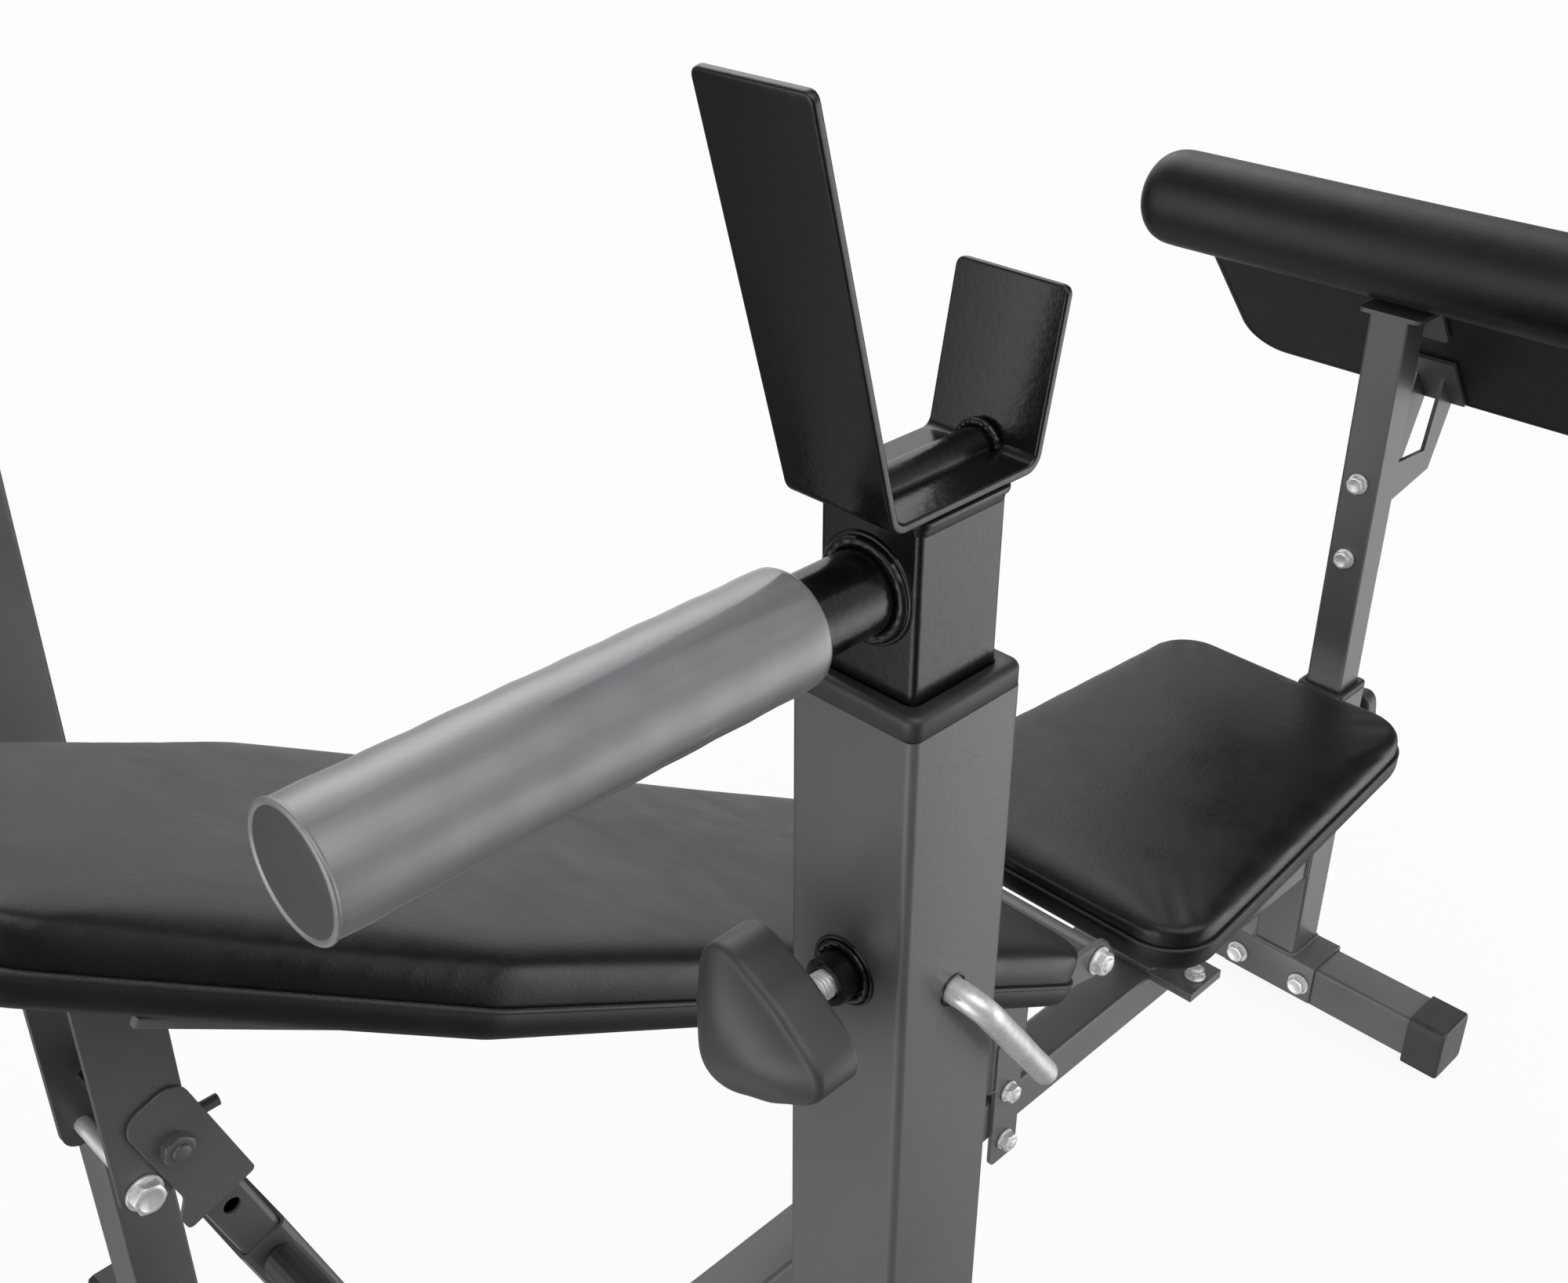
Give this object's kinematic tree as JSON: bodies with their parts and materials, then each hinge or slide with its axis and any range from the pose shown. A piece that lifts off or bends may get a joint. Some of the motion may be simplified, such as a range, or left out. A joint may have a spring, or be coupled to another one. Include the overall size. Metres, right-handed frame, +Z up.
{
  "type": "weight_bench",
  "caption": "Incline weight bench with height-adjustable bar racks, padded dip grips, a telescoping backrest prop and a sliding preacher curl pad",
  "frame": {"origin": "on the floor, under the middle of the bounding box", "axes": "+X to the bench's right side, +Y along the rail towards the bar racks, +Z up"},
  "size_m": [1, 1.5126, 1.252],
  "materials": {
    "powder_coated_steel": "semi-gloss black powder coat with a fine orange-peel texture",
    "zinc_plated_steel": "bright zinc plating",
    "black_plastic": "satin moulded plastic",
    "matte_black_plastic": "finely grained matte plastic",
    "grey_soft_grip": "smooth dark grey soft grip",
    "black_board_cover": "matte black covered board",
    "black_vinyl": "grained black vinyl upholstery"
  },
  "bodies": {
    "frame": {"front_crossbar": "powder_coated_steel", "front_sleeve": "powder_coated_steel", "rear_crossbar": "powder_coated_steel", "rear_riser": "powder_coated_steel", "main_rail": "powder_coated_steel", "upright_left": "powder_coated_steel", "upright_right": "powder_coated_steel", "seat_post": "powder_coated_steel", "hinge_post": "powder_coated_steel", "prop_lug": "powder_coated_steel", "front_bolt_left": "zinc_plated_steel", "front_bolt_right": "zinc_plated_steel", "rear_bolt_left": "zinc_plated_steel", "rear_bolt_right": "zinc_plated_steel", "seat_bolt_left": "zinc_plated_steel", "seat_bolt_right": "zinc_plated_steel", "clamp_bolt_upper": "zinc_plated_steel", "clamp_bolt_lower": "zinc_plated_steel", "front_cap_left": "black_plastic", "front_cap_right": "black_plastic", "rear_cap_left": "black_plastic", "rear_cap_right": "black_plastic", "collar_left": "black_plastic", "collar_right": "black_plastic", "sleeve_collar": "black_plastic", "seat_board": "black_board_cover", "seat_pad": "black_vinyl"},
    "rack_left": {"rack_tube_left": "powder_coated_steel", "saddle_left": "powder_coated_steel", "dip_stub_left": "powder_coated_steel", "dip_grip_left": "grey_soft_grip"},
    "rack_right": {"rack_tube_right": "powder_coated_steel", "saddle_right": "powder_coated_steel", "dip_stub_right": "powder_coated_steel", "dip_grip_right": "grey_soft_grip"},
    "clamp_screw_left_body": {"clamp_screw_left": "zinc_plated_steel"},
    "clamp_screw_right_body": {"clamp_screw_right": "zinc_plated_steel"},
    "clamp_knob_left_body": {"clamp_knob_left": "matte_black_plastic"},
    "clamp_knob_right_body": {"clamp_knob_right": "matte_black_plastic"},
    "rack_pin_left_body": {"rack_pin_left": "zinc_plated_steel"},
    "rack_pin_right_body": {"rack_pin_right": "zinc_plated_steel"},
    "preacher_stand": {"preacher_post": "powder_coated_steel", "preacher_bracket": "powder_coated_steel", "preacher_bolt_upper": "zinc_plated_steel", "preacher_bolt_lower": "zinc_plated_steel", "preacher_board": "black_board_cover", "preacher_pad": "black_vinyl"},
    "preacher_screw_body": {"preacher_screw": "zinc_plated_steel"},
    "preacher_knob_body": {"preacher_knob": "matte_black_plastic"},
    "backrest": {"backrest_arm_left": "powder_coated_steel", "backrest_arm_right": "powder_coated_steel", "backrest_cross_tube": "powder_coated_steel", "backrest_board": "black_board_cover", "backrest_pad": "black_vinyl", "hinge_bolt": "zinc_plated_steel", "prop_hanger": "powder_coated_steel", "prop_pivot_bolt": "zinc_plated_steel"},
    "prop_upper": {"prop_tube": "powder_coated_steel"},
    "prop_lower": {"prop_sleeve": "powder_coated_steel"},
    "prop_pin_body": {"prop_pin": "black_plastic"}
  },
  "joints": [
    {"name": "rack_left_height", "type": "slide", "parent": "frame", "child": "rack_left", "axis": [0, 0, 1], "range_m": [0, 0.3]},
    {"name": "clamp_left_advance", "type": "slide", "parent": "frame", "child": "clamp_screw_left_body", "axis": [0, 1, 0], "range_m": [0, 0.0045]},
    {"name": "clamp_left_turn", "type": "hinge", "parent": "clamp_screw_left_body", "child": "clamp_knob_left_body", "pos_m": [-0.403, 0.5493, 0.964], "axis": [0, 1, 0], "range_deg": [0, 1080]},
    {"name": "rack_pin_left_pull", "type": "slide", "parent": "frame", "child": "rack_pin_left_body", "axis": [-1, 0, 0], "range_m": [-0.0045, 0.03]},
    {"name": "rack_right_height", "type": "slide", "parent": "frame", "child": "rack_right", "axis": [0, 0, 1], "range_m": [0, 0.3]},
    {"name": "clamp_right_advance", "type": "slide", "parent": "frame", "child": "clamp_screw_right_body", "axis": [0, 1, 0], "range_m": [0, 0.0045]},
    {"name": "clamp_right_turn", "type": "hinge", "parent": "clamp_screw_right_body", "child": "clamp_knob_right_body", "pos_m": [0.403, 0.5493, 0.964], "axis": [0, 1, 0], "range_deg": [0, 1080]},
    {"name": "rack_pin_right_pull", "type": "slide", "parent": "frame", "child": "rack_pin_right_body", "axis": [1, 0, 0], "range_m": [-0.0045, 0.03]},
    {"name": "preacher_height", "type": "slide", "parent": "frame", "child": "preacher_stand", "axis": [0, 0, 1], "range_m": [-0.05, 0.15]},
    {"name": "preacher_clamp_advance", "type": "slide", "parent": "frame", "child": "preacher_screw_body", "axis": [0, -1, 0], "range_m": [0, 0.0045]},
    {"name": "preacher_clamp_turn", "type": "hinge", "parent": "preacher_screw_body", "child": "preacher_knob_body", "pos_m": [0, -0.5907, 0.33], "axis": [0, -1, 0], "range_deg": [0, 1080]},
    {"name": "backrest_incline", "type": "hinge", "parent": "frame", "child": "backrest", "pos_m": [0, -0.0507, 0.412], "axis": [1, 0, 0], "range_deg": [-5, 15]},
    {"name": "prop_swing", "type": "hinge", "parent": "backrest", "child": "prop_upper", "pos_m": [0, 0.66416, 0.68277], "axis": [1, 0, 0], "range_deg": [-0.7, 0.3]},
    {"name": "prop_extend", "type": "slide", "parent": "prop_upper", "child": "prop_lower", "axis": [0, -0.3379, -0.9412], "range_m": [-0.0515, 0.1535]},
    {"name": "prop_pin_pull", "type": "slide", "parent": "prop_lower", "child": "prop_pin_body", "axis": [-1, 0, 0], "range_m": [-0.0045, 0.025]}
  ],
  "couplings": [
    {"joint": "clamp_left_advance", "follows": "clamp_left_turn", "m_per_rad": 0.00023873},
    {"joint": "clamp_right_advance", "follows": "clamp_right_turn", "m_per_rad": 0.00023873},
    {"joint": "preacher_clamp_advance", "follows": "preacher_clamp_turn", "m_per_rad": 0.00023873},
    {"joint": "prop_swing", "follows": "backrest_incline", "ratio": -0.041},
    {"joint": "prop_extend", "follows": "backrest_incline", "m_per_rad": 0.585}
  ]
}
